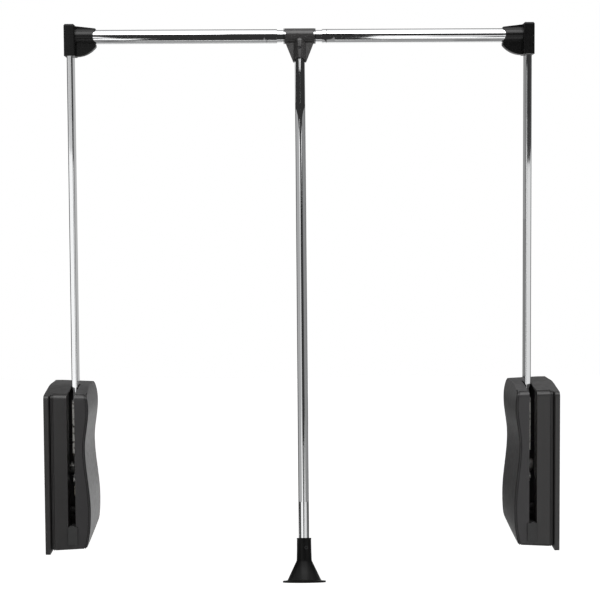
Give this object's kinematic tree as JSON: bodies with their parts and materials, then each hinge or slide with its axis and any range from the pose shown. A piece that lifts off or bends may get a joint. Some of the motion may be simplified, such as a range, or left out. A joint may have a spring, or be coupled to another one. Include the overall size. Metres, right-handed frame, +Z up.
{
  "type": "pull-down closet rod",
  "caption": "Wall-to-wall wardrobe lift: sprung housings carry swinging arms, a telescopic hanging rail and a swivelling pull handle.",
  "frame": {"origin": "on the left mounting face, on the line that both arms swing about", "axes": "+X across the wardrobe from the left wall to the right wall, +Y to the back of the wardrobe, +Z up; the arms stand upright"},
  "size_m": [0.85, 0.3032, 0.9007],
  "materials": {
    "chrome": "bright chrome plated steel tube",
    "housing_plastic": "fine-textured dark grey ABS",
    "cover_plastic": "fine-textured dark grey ABS, satin",
    "black_plastic": "satin black ABS",
    "buffer_rubber": "dark elastomer",
    "nylon": "natural moulded nylon",
    "lever_steel": "stamped zinc-plated steel",
    "plated_steel": "bright zinc-plated steel",
    "spring_steel": "oiled spring steel wire"
  },
  "bodies": {
    "left_housing": {"left_mount_plate": "housing_plastic", "left_outer_shell": "housing_plastic", "left_inner_cover": "cover_plastic", "left_slot_stop": "buffer_rubber", "left_pivot_pin": "plated_steel", "left_cover_screws": "plated_steel", "left_rack_guide": "nylon", "left_spring_seat": "nylon", "left_damper_cylinder": "plated_steel", "left_return_spring": "spring_steel"},
    "left_rack": {"left_rack": "nylon", "left_damper_rod": "plated_steel"},
    "left_arm": {"left_lever": "lever_steel", "left_pivot_bushes": "nylon", "left_lever_rivets": "plated_steel", "left_arm_tube": "chrome", "left_corner_bracket": "black_plastic", "left_bracket_screws": "plated_steel", "left_bracket_cap": "black_plastic", "left_rail_tube": "chrome"},
    "centre_rail": {"inner_rail_tube": "chrome", "tee_collars": "black_plastic"},
    "handle": {"handle_tee": "black_plastic", "tee_screw": "plated_steel", "handle_rod": "chrome", "handle_bell": "black_plastic", "bell_screw": "plated_steel"},
    "right_arm": {"right_lever": "lever_steel", "right_pivot_bushes": "nylon", "right_lever_rivets": "plated_steel", "right_arm_tube": "chrome", "right_corner_bracket": "black_plastic", "right_bracket_screws": "plated_steel", "right_bracket_cap": "black_plastic", "right_rail_tube": "chrome"},
    "right_rack": {"right_rack": "nylon", "right_damper_rod": "plated_steel"},
    "right_housing": {"right_mount_plate": "housing_plastic", "right_outer_shell": "housing_plastic", "right_inner_cover": "cover_plastic", "right_slot_stop": "buffer_rubber", "right_pivot_pin": "plated_steel", "right_cover_screws": "plated_steel", "right_rack_guide": "nylon", "right_spring_seat": "nylon", "right_damper_cylinder": "plated_steel", "right_return_spring": "spring_steel"}
  },
  "joints": [
    {"name": "left_arm_swing", "type": "hinge", "parent": "left_housing", "child": "left_arm", "pos_m": [0.0439, 0, 0], "axis": [1, 0, 0], "range_deg": [0, 130], "stiffness_Nm_per_rad": 25, "springref_deg": -8.59},
    {"name": "left_rack_slide", "type": "slide", "parent": "left_housing", "child": "left_rack", "axis": [0, 0, 1], "range_m": [0, 0.0613], "deforming": ["left_return_spring"]},
    {"name": "left_rail_extension", "type": "slide", "parent": "left_arm", "child": "centre_rail", "axis": [1, 0, 0], "range_m": [-0.01, 0.15]},
    {"name": "handle_swing", "type": "hinge", "parent": "centre_rail", "child": "handle", "pos_m": [0.425, 0, 0.7227], "axis": [1, 0, 0], "continuous": true},
    {"name": "right_rail_extension", "type": "slide", "parent": "centre_rail", "child": "right_arm", "axis": [1, 0, 0], "range_m": [-0.01, 0.15]},
    {"name": "right_arm_swing", "type": "hinge", "parent": "right_arm", "child": "right_housing", "pos_m": [0.8061, 0, 0], "axis": [1, 0, 0], "range_deg": [-130, 0]},
    {"name": "right_rack_slide", "type": "slide", "parent": "right_housing", "child": "right_rack", "axis": [0, 0, 1], "range_m": [0, 0.0613], "deforming": ["right_return_spring"]}
  ],
  "couplings": [
    {"joint": "left_rack_slide", "follows": "left_arm_swing", "m_per_rad": 0.027},
    {"joint": "right_arm_swing", "follows": "left_arm_swing", "ratio": -1},
    {"joint": "right_rack_slide", "follows": "left_arm_swing", "m_per_rad": 0.027}
  ]
}
